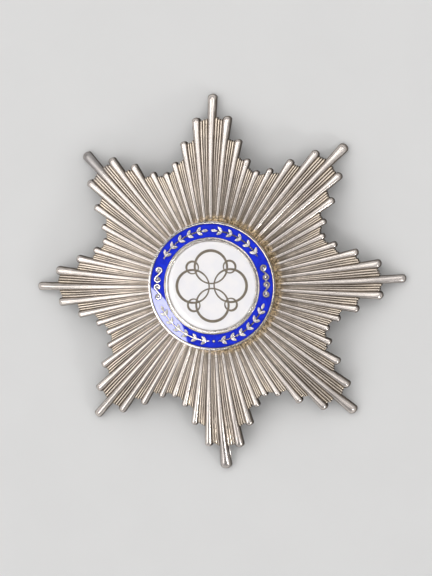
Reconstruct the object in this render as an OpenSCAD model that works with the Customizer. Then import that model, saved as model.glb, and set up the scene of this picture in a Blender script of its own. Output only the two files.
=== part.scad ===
// Breast star: a domed silver body of rays that carries an enamelled medallion.
// Millimetres. The origin lies under the middle, on the plane that the main
// points rest on. +Z is the face and +Y is the top main point.

/* [Star] */
// Size across two opposite main points
star_d = 85; // [76:1:100]
// Number of main points
main_points = 8; // [6:1:8]
// Rise of the grooves from the main points to the middle
dome_h = 7.7; // [6:0.1:10]
// Fullness of the dome, where 2 is a parabola
dome_power = 2.5; // [2:0.1:3.2]
// Thickness of a main point at its groove line
tip_t = 0.7; // [0.5:0.05:1.2]
// Thickness under the grooves at the shorter rays
plate_t = 1.5; // [1:0.1:2.2]
// Thickness of the flat middle that carries the medallion
hub_t = 2.1; // [1.5:0.1:2.8]
// Radius of the flat on the back
flat_r = 20; // [18:0.5:22]

/* [Rays] */
// Share of a ray's cell that the ray itself fills
ray_share = 0.42; // [0.36:0.01:0.46]
// Roundness of a ray, where 1 is a half circle
ray_round = 0.75; // [0.4:0.05:1]
// Widening of a main point towards its end
point_swell = 1.25; // [1:0.01:1.25]
// Roundness of the fine ridges between the rays
fine_round = 0.55; // [0.3:0.05:0.9]
// Extra length of the fine ridges beside the longer ray
fine_step = 0.6; // [0:0.1:0.8]
// Length of the bevelled end of the fine ridges
fine_bevel = 0.35; // [0.2:0.05:0.6]

/* [Medallion] */
// Diameter of the medallion
medal_d = 28.9; // [27:0.1:31]
// Height of the medallion above the star
medal_h = 1.8; // [1.4:0.1:2.6]
// Thickness of the medallion's floor
floor_t = 0.5; // [0.3:0.05:0.8]
// Width of the outer rim
rim_w = 0.55; // [0.4:0.05:0.8]
// Rounding of the outer rim's edges
rim_round = 0.15; // [0.05:0.01:0.18]
// Width of the blue ring
ring_w = 3.05; // [2.6:0.05:3.4]
// Width of the double line between the blue ring and the white centre
line_w = 0.9; // [0.7:0.05:1.2]
// Depth of the enamel under the top of the rim
enamel_drop = 0.15; // [0.1:0.05:0.3]
// Clearance between the enamel and its setting
fit_gap = 0.05; // [0.02:0.01:0.1]

/* [Ornament] */
// Depth of the ring's ornament under the top of the rim
ornament_drop = 0.06; // [0:0.01:0.1]
// Width of a laurel stem
stem_w = 0.28; // [0.2:0.01:0.4]
// Length of a laurel leaf
leaf_l = 1.45; // [1.2:0.05:1.6]
// Width of a laurel leaf
leaf_w = 0.62; // [0.5:0.01:0.7]
// Angle of a leaf from its stem
leaf_lean = 38; // [34:1:44]
// Distance from one pair of leaves to the next, along the stem
leaf_pitch = 2; // [1.9:0.05:2.6]
// Height of one of the small scrolls at the sides
scroll_l = 3.65; // [3.3:0.05:3.7]
// Width across one curl of a scroll
curl_d = 1.6; // [1.4:0.05:1.65]
// Line width of the small scrolls
scroll_w = 0.4; // [0.3:0.01:0.45]
// Diameter of the ball in each curl
ball_d = 0.52; // [0.46:0.01:0.56]
// Gap between two scrolls
scroll_gap = 0.15; // [0.12:0.01:0.25]
// Radius of the loops in the middle
loop_r = 3.75; // [3.4:0.05:4]
// Widest line of the loops
loop_w = 0.62; // [0.5:0.01:0.8]
// Thickness of the loops on the white enamel
loop_t = 0.1; // [0.06:0.01:0.14]

/* [Fixings] */
// Diameter of the post that holds the medallion
post_d = 3; // [2.4:0.1:4]
// Clearance all round the post
post_gap = 0.08; // [0.05:0.01:0.15]
// Diameter of the post's closed head
head_d = 5.4; // [5:0.1:7]
// Thickness of the post's closed head
head_t = 0.7; // [0.5:0.05:1]
// Clearance between what lies on the back and the back itself
seat_gap = 0.05; // [0.02:0.01:0.2]
// Distance from the hinge to the catch of the pin
pin_span = 33; // [28:0.5:34]
// Diameter of the pin's wire
wire_d = 1; // [0.8:0.05:1.2]
// Room for cloth between the wire and the back
cloth_gap = 2.2; // [1.9:0.1:2.6]
// Width of the hinge block
hinge_w = 5; // [4:0.1:6]
// Diameter of the hinge block's knuckle
knuckle_d = 2; // [1.8:0.1:2.2]
// Width of the catch
catch_w = 2.2; // [1.8:0.1:3]
// Length of the wire past the catch
wire_past = 2.4; // [1.5:0.1:3]

/* [Hidden] */

// Tip of each ray as a share of the star's radius, from a main point to the
// middle of the valley: [tip share, width share at the tip]
RAYS = [
    [1.000, point_swell],
    [0.880, 1],
    [0.770, 1],
    [0.682, 1],
    [0.645, 1]
];
RAYS_PER_POINT = 8;

// Fine ridges between two rays
RIDGES = 3;
// Roundness of a ray's end, where 1 is a half circle
END_ROUND = 0.9;
// Drop of the fine ridges' bevel as a share of its length
BEVEL_DROP = 0.6;
// Root of the shortest rays' free end, as a share of their length
LAST_ROOT = 0.8;

// Points across one cell: [side (-1 ridges before the ray, 0 ray, 1 ridges
// after it), place (across half of the ray, or from the ray to the next one),
// height share]
ACROSS = [
    [-1, 1 / 2, 1],
    [-1, 1 / 3, 0],
    [-1, 1 / 6, 1],
    [-1, 1 / 10, 0],
    [0, -1, 0],
    [0, -0.62, 0.78],
    [0, 0, 1],
    [0, 0.62, 0.78],
    [0, 1, 0],
    [1, 1 / 10, 0],
    [1, 1 / 6, 1],
    [1, 1 / 3, 0]
];

// Points along a ray: [share of the way to the root of its free end, share of
// the free end, share of the rounded end, height share]
ALONG = [
    [0, 0, 0, 1],
    [0.45, 0, 0, 1],
    [1, 0, 0, 1],
    [1, 1, 0, 1],
    [1, 1, 0.7, 0.72],
    [1, 1, 1, 0]
];

// Sprays of laurel on the blue ring: [angle of the root, angle of the tip]
SPRAYS = [[149, 96], [31, 84], [265, 204], [275, 336]];
// Place of the first leaves past a spray's root, as a share of the pitch
LEAF_START = 0.3;
// Middle of each side group of scrolls, above the horizontal
SCROLL_RISE = 4;
// Angle of a curl's free end, which carries its ball
CURL_END = 15;
// Place of the ball inside its curl, as a share of the curl's radius
BALL_PLACE = 0.7;
// Corners of a curl's outline
CURL_STEPS = 12;
// Loops of one quarter of the figure: [turn, distance from the middle and
// radius as shares of loop_r, line as a share of loop_w]
LOOPS = [
    [0, 1.15, 1, 1],
    [45, 1.6, 0.38, 0.8]
];
// Narrowest line of a loop as a share of its widest
THIN_SHARE = 0.5;

rays = main_points * RAYS_PER_POINT;
per_cell = len(ACROSS);
star_r = star_d / 2;
cell = 360 / rays;
medal_r = medal_d / 2;
// Flat seat on the star under the medallion
seat_r = 0.9 * medal_r;
ring_out = medal_r - rim_w;
ring_in = ring_out - ring_w;
white_r = ring_in - line_w;
ring_mid = (ring_out + ring_in) / 2;
// Where the rays start, hidden under the edge of the medallion
first_r = 0.983 * medal_r;
// How far a cutter runs past what it cuts
past = floor_t;

function mix(a, b, f) = a + (b - a) * f;
function polar(r, a, z) = [r * cos(a), r * sin(a), z];

// Half of a ray's width at radius r, in millimetres
function half_w(r) = r * cell / 2 * ray_share * PI / 180;
// Place of ray c in the table, 0 for a main point
function rank(c) = abs((c + RAYS_PER_POINT / 2) % RAYS_PER_POINT - RAYS_PER_POINT / 2);
function tip_r(k) = star_r * RAYS[k][0];
function body_r(k) = tip_r(k) - half_w(tip_r(k)) * RAYS[k][1];
// Radius where ray k leaves its shorter neighbour and stands free
function root_r(k) = k + 1 < len(RAYS) ? tip_r(k + 1) : mix(first_r, body_r(k), LAST_ROOT);
// Share by which ray k has widened at radius r
function swell(k, r) = mix(1, RAYS[k][1], max(0, (r - root_r(k)) / (tip_r(k) - root_r(k))));

function groove_z(r) = tip_t + dome_h * (1 - pow(r / star_r, dome_power));
seat_z = groove_z(seat_r) + ray_round * half_w(seat_r);
hub_z = seat_z - hub_t;
function back_z(r) = max(0, min(hub_z, groove_z(r) - plate_t));

// A point of ray k: place u across it and the row of ALONG
function ray_point(k, a, u, height, row) =
    let (end_share = sqrt(1 - pow(END_ROUND * u, 2)))
    let (root = mix(mix(first_r, root_r(k), row[0]), body_r(k), row[1]))
    let (r = root + row[2] * end_share * (tip_r(k) - body_r(k)))
    let (w = half_w(r) * swell(k, r))
    polar(r, a + u * w / r * 180 / PI, groove_z(r) + ray_round * w * height * row[3]);

// A point of the fine ridges on one side of ray k, whose neighbour is ray n
function ridge_point(k, n, a, side, place, height, row) =
    let (longer = k < n ? 1 - place : place)
    let (end_r = body_r(max(k, n)) + longer * fine_step)
    let (root = mix(mix(first_r, end_r - 2 * fine_bevel, row[0]), end_r - fine_bevel, row[1]))
    let (r = root + row[2] * fine_bevel)
    let (offset = cell * (ray_share / 2 + place * (1 - ray_share)))
    let (ridge = fine_round * r * cell * (1 - ray_share) / (2 * RIDGES) * PI / 180)
    let (bevel = fine_bevel * (1 - row[3]))
    polar(r, a + side * offset, groove_z(r) + ridge * height * row[3] - BEVEL_DROP * bevel);

function star_point(c, col, row) = col[0] == 0
    ? ray_point(rank(c), top_a(c), col[1], col[2], row)
    : ridge_point(rank(c), rank(c + col[0] + rays), top_a(c), col[0], col[1], col[2], row);
function top_a(c) = 90 + c * cell;

function star_row(row) = [for (c = [0 : rays - 1], col = ACROSS) star_point(c, col, row)];
function under(points) = [for (p = points) [p[0], p[1], back_z(norm([p[0], p[1]]))]];
function hub_ring(r, z) = [for (c = [0 : rays - 1]) polar(r, top_a(c), z)];

// Triangles between two rings of points, either of which may have fewer in a cell
function strip(a, a_per, b, b_per) = a_per >= b_per
    ? let (q = a_per / b_per, n = a_per * rays) concat(
        [for (j = [0 : n - 1]) [a + j, a + (j + 1) % n, b + floor(j / q)]],
        [for (i = [0 : n / q - 1]) [a + (i + 1) * q % n, b + (i + 1) % (n / q), b + i]])
    : let (q = b_per / a_per, n = b_per * rays) concat(
        [for (j = [0 : n - 1]) [a + floor(j / q), b + (j + 1) % n, b + j]],
        [for (i = [0 : n / q - 1]) [a + i, a + (i + 1) % (n / q), b + (i + 1) * q % n]]);

// Rays, fine ridges and hollow back as one closed skin
module ray_skin() {
    rows = len(ALONG);
    n = rays * per_cell;
    edge = star_row(ALONG[rows - 1]);
    points = concat(
        [for (row = ALONG) each star_row(row)],
        under(edge),
        hub_ring(seat_r, seat_z),
        hub_ring(flat_r, hub_z));
    back_edge = rows * n;
    seat = back_edge + n;
    flat = seat + rays;
    faces = concat(
        [[for (c = [rays - 1 : -1 : 0]) seat + c]],
        strip(seat, 1, 0, per_cell),
        [for (i = [0 : rows - 1]) each strip(i * n, per_cell, (i + 1) * n, per_cell)],
        strip(back_edge, per_cell, flat, 1),
        [[for (c = [0 : rays - 1]) flat + c]]);
    polyhedron(points = points, faces = faces, convexity = 6);
}

module star() {
    color([0.74, 0.72, 0.68])
    difference() {
        ray_skin();
        translate([0, 0, hub_z - past])
            cylinder(h = hub_t + 2 * past, d = post_d + 2 * post_gap, $fn = 48);
    }
}

top_z = seat_z + medal_h;
floor_z = seat_z + floor_t;
enamel_z = top_z - enamel_drop;
ornament_z = top_z - ornament_drop;

// Part of a flat ring between two angles, cut from it by a sector that reaches
// past its edge
module arc_band(r, w, a0, a1) {
    far = 2 * (r + w);
    steps = 4;
    intersection() {
        difference() {
            circle(r = r + w / 2, $fn = 96);
            circle(r = r - w / 2, $fn = 96);
        }
        polygon(concat([[0, 0]], [for (i = [0 : steps]) far * [cos(mix(a0, a1, i / steps)),
            sin(mix(a0, a1, i / steps))]]));
    }
}

// Pointed leaf with its root at the origin, along +X
module leaf(l, w) {
    r = (l * l + w * w) / (4 * w);
    intersection() {
        translate([l / 2, r - w / 2])
            circle(r = r, $fn = 48);
        translate([l / 2, w / 2 - r])
            circle(r = r, $fn = 48);
    }
}

// Stem with pairs of leaves that lean from its root to its tip
module laurel_spray(root, tip, grow) {
    way = sign(tip - root);
    length = abs(tip - root) * PI / 180 * ring_mid;
    pairs = floor(length / leaf_pitch);
    turn = (tip - root) / pairs;
    arc_band(ring_mid, stem_w + 2 * grow, min(root, tip), max(root, tip));
    for (i = [0 : pairs - 1], s = [-1, 1])
        rotate(root + (i + LEAF_START) * turn)
            translate([ring_mid, 0])
                rotate(way * 90 + s * leaf_lean)
                    translate([-grow, 0])
                        leaf(leaf_l + 2 * grow, leaf_w + 2 * grow);
    rotate(tip)
        translate([ring_mid, 0])
            rotate(way * 90)
                translate([-leaf_l / 3 - grow, 0])
                    leaf(leaf_l + 2 * grow, leaf_w + 2 * grow);
}

// One small scroll: two curls joined by a straight stroke that touches both, in
// an S, with a ball at each free end
module scroll(grow) {
    r = (curl_d - scroll_w) / 2;
    rise = (scroll_l - curl_d) / 2;
    half = scroll_w / 2 + grow;
    touch = 180 + asin(r / rise);
    turns = [for (i = [0 : CURL_STEPS]) mix(CURL_END, touch, i / CURL_STEPS)];
    back = [for (i = [CURL_STEPS : -1 : 0]) turns[i]];
    function curl(side, away, a) = side * [away * cos(a), rise + away * sin(a)];
    polygon(concat(
        [for (a = turns) curl(1, r + half, a)],
        [for (a = back) curl(-1, r - half, a)],
        [for (a = turns) curl(-1, r + half, a)],
        [for (a = back) curl(1, r - half, a)]));
    for (side = [-1, 1])
        translate(curl(side, BALL_PLACE * r, CURL_END))
            circle(d = ball_d + 2 * grow, $fn = 24);
}

module ring_ornament(grow) {
    for (s = SPRAYS)
        laurel_spray(s[0], s[1], grow);
    for (side = [0, 1], end = [-1, 1])
        mirror([side, 0])
            rotate(SCROLL_RISE + end * (scroll_l + scroll_gap) / 2 / ring_mid * 180 / PI)
                translate([ring_mid, 0])
                    mirror([0, 1 - end])
                        scroll(grow);
    rotate(270)
        translate([ring_mid, 0])
            circle(d = leaf_w + 2 * grow, $fn = 32);
}

// Outline of the turned setting from its axis outwards, right of the axis
function setting_outline() =
    let (bead = line_w / 3)
    [
        [0, seat_z],
        [medal_r - rim_round, seat_z],
        [medal_r, seat_z + rim_round],
        [medal_r, top_z - rim_round],
        [medal_r - rim_round, top_z],
        [ring_out + rim_round, top_z],
        [ring_out, top_z - rim_round],
        [ring_out, floor_z],
        [ring_in, floor_z],
        [ring_in, enamel_z],
        [ring_in - bead / 2, top_z - enamel_drop / 3],
        [ring_in - bead, enamel_z],
        [ring_in - bead, enamel_z - bead],
        [white_r + bead, enamel_z - bead],
        [white_r + bead, enamel_z],
        [white_r + bead / 2, top_z - enamel_drop / 3],
        [white_r, enamel_z],
        [white_r, floor_z],
        [0, floor_z]
    ];

// Rims, floor, ornament and post, all one piece of silver
module medallion_setting() {
    color([0.80, 0.79, 0.77])
    union() {
        rotate_extrude($fn = 128)
            polygon(setting_outline());
        translate([0, 0, floor_z - floor_t / 2])
            linear_extrude(ornament_z - floor_z + floor_t / 2)
                ring_ornament(0);
        translate([0, 0, hub_z - seat_gap - head_t / 2])
            cylinder(h = seat_z + floor_t / 2 - hub_z + seat_gap + head_t / 2, d = post_d, $fn = 48);
        translate([0, 0, hub_z - seat_gap - head_t])
            cylinder(h = head_t, d = head_d, $fn = 48);
    }
}

module blue_ring() {
    color([0.06, 0.13, 0.85])
    difference() {
        translate([0, 0, floor_z + fit_gap])
            cylinder(h = enamel_z - floor_z - fit_gap, r = ring_out - fit_gap, $fn = 128);
        translate([0, 0, floor_z - past])
            cylinder(h = enamel_z - floor_z + 2 * past, r = ring_in + fit_gap, $fn = 128);
        translate([0, 0, floor_z - past])
            linear_extrude(enamel_z - floor_z + 2 * past)
                ring_ornament(fit_gap);
    }
}

module white_centre() {
    color([0.96, 0.96, 0.94])
    translate([0, 0, floor_z + fit_gap])
        cylinder(h = enamel_z - loop_t / 2 - floor_z - fit_gap, r = white_r - fit_gap, $fn = 128);
}

// Ring whose line is widest on the side away from the middle
module loop(r, w) {
    thin = THIN_SHARE * w;
    difference() {
        circle(r = r + thin / 2, $fn = 96);
        translate([-(w - thin) / 2, 0])
            circle(r = r - w / 2, $fn = 96);
    }
}

// Symmetric figure of interlaced loops on the white enamel
module centre_loops() {
    color([0.47, 0.44, 0.39])
    translate([0, 0, enamel_z - loop_t / 2])
        linear_extrude(loop_t)
            for (a = [0 : 90 : 270], l = LOOPS)
                rotate(a + l[0])
                    translate([l[1] * loop_r, 0])
                        loop(l[2] * loop_r, l[3] * loop_w);
}

// Hinge block, wire and catch in one piece, shown closed
module brooch_pin() {
    wire_z = hub_z - cloth_gap - wire_d / 2;
    foot_z = hub_z - seat_gap;
    half = pin_span / 2;
    leg_t = knuckle_d / 2;
    point_l = 1.6 * wire_d;
    color([0.66, 0.65, 0.62])
    union() {
        translate([-hinge_w / 2, half, wire_z])
            rotate([0, 90, 0])
                cylinder(h = hinge_w, d = knuckle_d, $fn = 32);
        translate([-hinge_w / 2, half - leg_t / 2, wire_z])
            cube([hinge_w, leg_t, foot_z - wire_z]);
        translate([-catch_w / 2, -half, wire_z])
            rotate([0, 90, 0])
                cylinder(h = catch_w, d = 0.9 * knuckle_d, $fn = 32);
        translate([-catch_w / 2, -half - leg_t / 2, wire_z])
            cube([catch_w, leg_t, foot_z - wire_z]);
        translate([0, -half - wire_past, wire_z])
            rotate([-90, 0, 0])
                cylinder(h = pin_span + wire_past, d = wire_d, $fn = 32);
        translate([0, -half - wire_past, wire_z])
            rotate([90, 0, 0])
                cylinder(h = point_l, d1 = wire_d, d2 = 0.3 * wire_d, $fn = 32);
    }
}

star();
medallion_setting();
blue_ring();
white_centre();
centre_loops();
brooch_pin();
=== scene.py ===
# Breast star: the finished look of a domed silver star of rays that carries an
# enamelled medallion. Metres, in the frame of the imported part: +Z is the face,
# +Y the top main point, and the star rests on its back on the plane z = 0.

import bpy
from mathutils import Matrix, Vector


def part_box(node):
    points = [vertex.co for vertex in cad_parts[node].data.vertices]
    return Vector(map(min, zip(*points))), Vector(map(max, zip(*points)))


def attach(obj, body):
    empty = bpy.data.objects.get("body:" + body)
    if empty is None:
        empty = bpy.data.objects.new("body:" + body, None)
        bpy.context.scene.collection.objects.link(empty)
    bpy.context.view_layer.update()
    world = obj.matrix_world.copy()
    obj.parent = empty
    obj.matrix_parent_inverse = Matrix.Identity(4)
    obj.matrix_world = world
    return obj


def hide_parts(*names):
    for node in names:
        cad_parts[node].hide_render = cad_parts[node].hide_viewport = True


bl_info = {
    "name": "Breast Star",
    "version": (1, 0, 0),
    "blender": (4, 5, 0),
    "location": "View3D > Sidebar > Breast Star",
    "description": "Builds a silver and enamel breast star with its finishes, floor, lights and camera",
    "category": "Object",
}

import random
from math import asin, cos, degrees, pi, radians, sin, sqrt

import bmesh
import bpy
import numpy as np
from bpy.props import FloatProperty, FloatVectorProperty, IntProperty, PointerProperty
from bpy.types import Operator, Panel, PropertyGroup
from mathutils import Matrix, Vector

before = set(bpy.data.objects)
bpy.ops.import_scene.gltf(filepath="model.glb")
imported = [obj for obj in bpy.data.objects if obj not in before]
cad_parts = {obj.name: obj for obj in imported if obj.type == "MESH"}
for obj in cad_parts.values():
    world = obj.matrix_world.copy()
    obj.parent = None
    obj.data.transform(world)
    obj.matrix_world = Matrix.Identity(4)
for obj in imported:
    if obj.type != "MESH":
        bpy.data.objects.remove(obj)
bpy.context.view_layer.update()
BODY = "root"

SETTING_LOW, SETTING_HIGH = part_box("medallion_setting")
LOOPS_LOW, LOOPS_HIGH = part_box("centre_loops")
PIN_LOW, PIN_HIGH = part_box("brooch_pin")
STAR_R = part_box("star")[1].x
MEDAL_R = SETTING_HIGH.x
TOP_Z = SETTING_HIGH.z
HEAD_Z = SETTING_LOW.z
ENAMEL_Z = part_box("blue_ring")[1].z

# Rays from a main point to the middle of the valley: [tip as a share of the
# star's radius, whether it widens as a main point does]
RAYS = [[1.000, True], [0.880, False], [0.770, False], [0.682, False], [0.645, False]]
# How much each main point's swell differs, from the top one on, against the clock
POINTS = [0.96, 1.08, 0.80, 0.85, 1.25, 1.06, 0.82, 1.10]
RAYS_PER_POINT = 8
RAY_COUNT = RAYS_PER_POINT * len(POINTS)
CELL = 2 * pi / RAY_COUNT
TOP = pi / 2
RIDGES = 3
RAY_SEGMENTS = 10
RIDGE_SEGMENTS = 6
# Rows from the hollow back's edge to its flat, as shares of the way
BACK_ROWS = (0.12, 0.3, 0.5, 0.7, 0.85, 1.0)
# Where the rays start, and the lengths over which rays and ridges grow to full height
FIRST_R = 0.983 * MEDAL_R
RAY_GROWTH = 0.5 * STAR_R
RIDGE_GROWTH = 0.42 * (STAR_R - FIRST_R)
# Softened edges of metal, and of the post's hole
SOFT_EDGE = 0.00012
HOLE_CHAMFER = 0.00015

# Sprays of laurel on the blue ring, in degrees: [root, tip]
SPRAYS = [[149, 96], [31, 84], [265, 204], [275, 336]]
LEAF_START = 0.3
# Middle of each side group of scrolls above the horizontal, in degrees
SCROLL_RISE = 4
# Turns between which a scroll's curl winds in to its ball, in degrees
CURL_TURNS = (-110, 40)
# Loops of one quarter of the figure: [turn in degrees, distance and radius as
# shares of the loop radius, line as a share of the widest line]
LOOPS = [[0, 1.15, 1, 1], [45, 1.6, 0.38, 0.8]]
THIN_SHARE = 0.5
# The pin's point: [way to its tip, radius as a share of the wire's]
PIN_TAPER = [[0.3, 0.94], [0.6, 0.76], [0.85, 0.5], [0.97, 0.28], [1.0, 0.14]]


def size(name, text, default, high=1.0):
    return FloatProperty(name=name, description=text, default=default, min=0, max=high,
                         unit="LENGTH", subtype="DISTANCE", precision=5)


def share(name, text, default, low=0.0, high=2.0):
    return FloatProperty(name=name, description=text, default=default, min=low, max=high, subtype="FACTOR")


def angle(name, text, default, low=0, high=90):
    """An angle given in degrees."""
    return FloatProperty(name=name, description=text, default=radians(default),
                         min=radians(low), max=radians(high), subtype="ANGLE")


def colour(name, text, default):
    return FloatVectorProperty(
        name=name, description=text, default=default, min=0, max=1, size=3, subtype="COLOR")


class RaySizes(PropertyGroup):
    dome_rise: size("Dome rise", "Rise of the grooves from the points to the middle", 0.0077)
    dome_power: share("Dome fullness", "Fullness of the dome, where 2 is a parabola", 2.5, 2, 3.2)
    tip_t: size("Point thickness", "Thickness of a main point at its groove line", 0.0007)
    plate_t: size("Plate thickness", "Thickness under the grooves", 0.0015)
    hub_t: size("Hub thickness", "Thickness of the flat that carries the medallion", 0.0021)
    flat_r: size("Back flat", "Radius of the flat on the back", 0.020)
    hole_r: size("Post hole", "Radius of the hole for the medallion's post", 0.00158)
    seat_r: size("Seat radius", "Radius of the flat seat under the medallion", 0.013005)
    ray_share: share("Ray share", "Share of its cell that a ray fills", 0.42)
    ray_round: share("Ray roundness", "Roundness of a ray, where 1 is a half circle", 0.75)
    ray_fullness: share("Ray fullness", "How much rounder a ray is at its free end than at its root", 1.18)
    point_swell: share("Point swell", "Widening of a main point towards its end", 1.25)
    side_swell: share("Side swell", "Widening of the other rays towards their ends", 1.2)
    ridge_round: share("Ridge roundness", "Roundness of the fine ridges", 0.62)
    ridge_start: share("Ridge start", "Share of their height that the ridges have at the medallion", 0.22)
    ridge_step: size("Ridge step", "Extra length of the ridges beside the longer ray", 0.0006)
    ridge_bevel: size("Ridge bevel", "Length of the bevelled end of a ridge", 0.0003)
    foot: share("Groove foot", "Share of the gap that the groove beside a ray takes", 0.05)
    length_wander: size("Length wander", "How much the rays differ in length", 0.00022)
    turn_wander: angle("Turn wander", "How much the rays differ in direction", 0.14, high=1)
    seed: IntProperty(name="Seed", description="Seed of the differences between rays", default=7)


class MedallionSizes(PropertyGroup):
    medal_h: size("Medallion height", "Height of the medallion above the star", 0.0018)
    floor_t: size("Floor thickness", "Thickness of the medallion's floor", 0.0005)
    rim_w: size("Rim width", "Width of the outer rim", 0.00055)
    rim_round: size("Rim rounding", "Rounding of the outer rim's edges", 0.0001)
    ring_w: size("Ring width", "Width of the blue ring", 0.00305)
    line_w: size("Double line", "Width of the double line round the white centre", 0.0009)
    fit_gap: size("Fit gap", "Clearance between the enamel and its setting", 0.00005)
    post_r: size("Post radius", "Radius of the post that holds the medallion", 0.0015)
    head_r: size("Head radius", "Radius of the post's closed head", 0.0027)
    head_t: size("Head thickness", "Thickness of the post's closed head", 0.0007)
    meniscus: size("Enamel edge", "Rounding of the enamel where it meets the metal", 0.00014)


class OrnamentSizes(PropertyGroup):
    stem_w: size("Stem width", "Width of a laurel stem", 0.00028)
    leaf_l: size("Leaf length", "Length of a laurel leaf", 0.00145)
    leaf_w: size("Leaf width", "Width of a laurel leaf", 0.00062)
    leaf_lean: angle("Leaf lean", "Angle of a leaf from its stem", 38)
    leaf_pitch: size("Leaf pitch", "Distance between pairs of leaves", 0.002)
    leaf_relief: size("Leaf relief", "Depth of a leaf's modelling", 0.00009)
    scroll_l: size("Scroll height", "Height of a small scroll", 0.00365)
    curl_d: size("Curl width", "Width across one curl of a scroll", 0.0016)
    scroll_w: size("Scroll line", "Line width of the small scrolls", 0.00038)
    ball_d: size("Scroll ball", "Diameter of the ball in each curl", 0.0006)
    scroll_gap: size("Scroll gap", "Gap between two scrolls", 0.00015)
    loop_r: size("Loop radius", "Radius of the loops in the middle", 0.00375)
    loop_w: size("Loop line", "Widest line of the loops", 0.00062)


class PinSizes(PropertyGroup):
    wire_r: size("Wire radius", "Radius of the pin's wire", 0.0005)
    knuckle_r: size("Knuckle radius", "Radius of the hinge's knuckle", 0.001)
    catch_r: size("Catch radius", "Radius of the catch", 0.0009)
    catch_w: size("Catch width", "Width of the catch", 0.0022)
    span: size("Pin span", "Distance from the hinge to the catch", 0.033)


class FinishColours(PropertyGroup):
    silver: colour("Silver", "Worn crest of the rays", (0.73, 0.662, 0.61))
    dull_silver: colour("Dull silver", "Fine ridges between the rays", (0.62, 0.535, 0.455))
    grey_tarnish: colour("Grey tarnish", "Dull ends of some main points", (0.36, 0.34, 0.335))
    # The worn ends' colour is partly golden wear and partly a painted highlight
    peach_wear_and_highlight: colour("Worn ends", "Golden ends of the fine ridges", (0.92, 0.78, 0.62))
    # Tarnish also darkens the flanks of the free ray ends as a painted shade
    tarnish: colour("Tarnish", "Tarnish in the grooves", (0.11, 0.082, 0.055))
    golden: colour("Golden tarnish", "Golden brown tarnish round the medallion", (0.155, 0.098, 0.040))
    worn_gold: colour("Worn gold", "Bright grains in the golden tarnish", (0.80, 0.60, 0.36))
    # Deep shade is a painted shade that darkens the star's edge walls black-brown
    deep_shade: colour("Deep tarnish", "Black-brown tarnish on the edge walls", (0.060, 0.045, 0.032))
    setting: colour("Setting silver", "Silver of the medallion", (0.80, 0.765, 0.73))
    # Brown also serves as a painted shade on the medallion's outer side and the rim's right
    brown: colour("Brown tarnish", "Tarnish on the medallion's silver", (0.26, 0.20, 0.14))
    blue: colour("Blue enamel", "Royal blue enamel", (0.006, 0.018, 0.54))
    light_blue: colour("Light blue", "Blue enamel where it lies thinnest", (0.012, 0.036, 0.78))
    # Deep blue is a painted shade where the enamel meets the metal
    deep_blue_shade: colour("Deep blue", "Blue enamel where it meets the metal", (0.002, 0.003, 0.06))
    white: colour("White enamel", "White enamel", (0.965, 0.935, 0.932))
    gilt: colour("Dull gilt", "Gilt line of the figure in the middle", (0.25, 0.21, 0.16))
    floor: colour("Floor", "Plain pale floor", (0.72, 0.715, 0.705))


class StageSizes(PropertyGroup):
    view_tilt: angle("View tilt", "Angle of the view from straight above", 12.46)
    view_turn: angle("View direction", "Side that the camera stands on", 24.3, -180, 180)
    view_roll: angle("View roll", "Turn of the camera about its own axis", -1.75, -60, 60)
    distance: size("Distance", "Distance of the camera", 0.588, high=5)
    target_z: size("Target height", "Height that the camera looks at", 0.0016)
    lens: FloatProperty(
        name="Lens", description="Focal length", default=163, min=10, max=500, unit="CAMERA")
    shift_right: share("Shift right", "Place of the star right of the frame's middle", 2.8 / 576)
    shift_up: share("Shift up", "Place of the star above the frame's middle", 5.5 / 576)
    floor_w: size("Floor width", "Width of the floor", 6.0, high=20)
    ambient: share("Ambient light", "Strength of the light from all round", 0.45)


class BreastStarSettings(PropertyGroup):
    rays: PointerProperty(type=RaySizes)
    medallion: PointerProperty(type=MedallionSizes)
    ornament: PointerProperty(type=OrnamentSizes)
    pin: PointerProperty(type=PinSizes)
    colours: PointerProperty(type=FinishColours)
    stage: PointerProperty(type=StageSizes)


def mix(a, b, f):
    return a + (b - a) * f


def clamp(value):
    return min(1, max(0, value))


def polar(r, turn, z=0.0):
    return r * cos(turn), r * sin(turn), z


# Modelling helpers

def select_only(*objects):
    """Selects these objects alone and makes the first one active."""
    bpy.ops.object.select_all(action="DESELECT")
    for obj in objects:
        obj.select_set(True)
    bpy.context.view_layer.objects.active = objects[0]


def edit(obj, mode="VERT", action="DESELECT"):
    """Enters edit mode with nothing or everything selected."""
    select_only(obj)
    bpy.ops.object.mode_set(mode="EDIT")
    bpy.ops.mesh.select_mode(type=mode)
    bpy.ops.mesh.select_all(action=action)


def leave_edit():
    bpy.ops.object.mode_set(mode="OBJECT")


def linked(name, data):
    """A new object in the scene."""
    obj = bpy.data.objects.new(name, data)
    bpy.context.scene.collection.objects.link(obj)
    return obj


def added(primitive, **values):
    """Adds a primitive at its size and place, and puts its place in its mesh."""
    bpy.ops.object.select_all(action="DESELECT")
    primitive(**values)
    bpy.ops.object.transform_apply(location=True, rotation=True, scale=True)
    return bpy.context.view_layer.objects.active


def clean(obj, distance=2e-7):
    """Merges doubles and turns all faces outwards."""
    edit(obj, action="SELECT")
    bpy.ops.mesh.remove_doubles(threshold=distance)
    bpy.ops.mesh.normals_make_consistent(inside=False)
    leave_edit()
    return obj


def join(objects, name):
    """Makes one piece of several."""
    select_only(*objects)
    bpy.ops.object.join()
    objects[0].name = name
    return objects[0]


def copy_of(obj, matrix):
    """A copy with its own mesh, turned or moved in its mesh."""
    twin = obj.copy()
    twin.data = obj.data.copy()
    twin.data.transform(matrix)
    if matrix.determinant() < 0:
        twin.data.flip_normals()
    bpy.context.scene.collection.objects.link(twin)
    return twin


def drop(*objects):
    for obj in objects:
        bpy.data.objects.remove(obj)


def modify(obj, kind, **values):
    """Adds a modifier with these values and applies it."""
    select_only(obj)
    modifier = obj.modifiers.new(kind.replace("_", " ").title(), kind)
    for key, value in values.items():
        setattr(modifier, key, value)
    bpy.ops.object.modifier_apply(modifier=modifier.name)
    return obj


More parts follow.
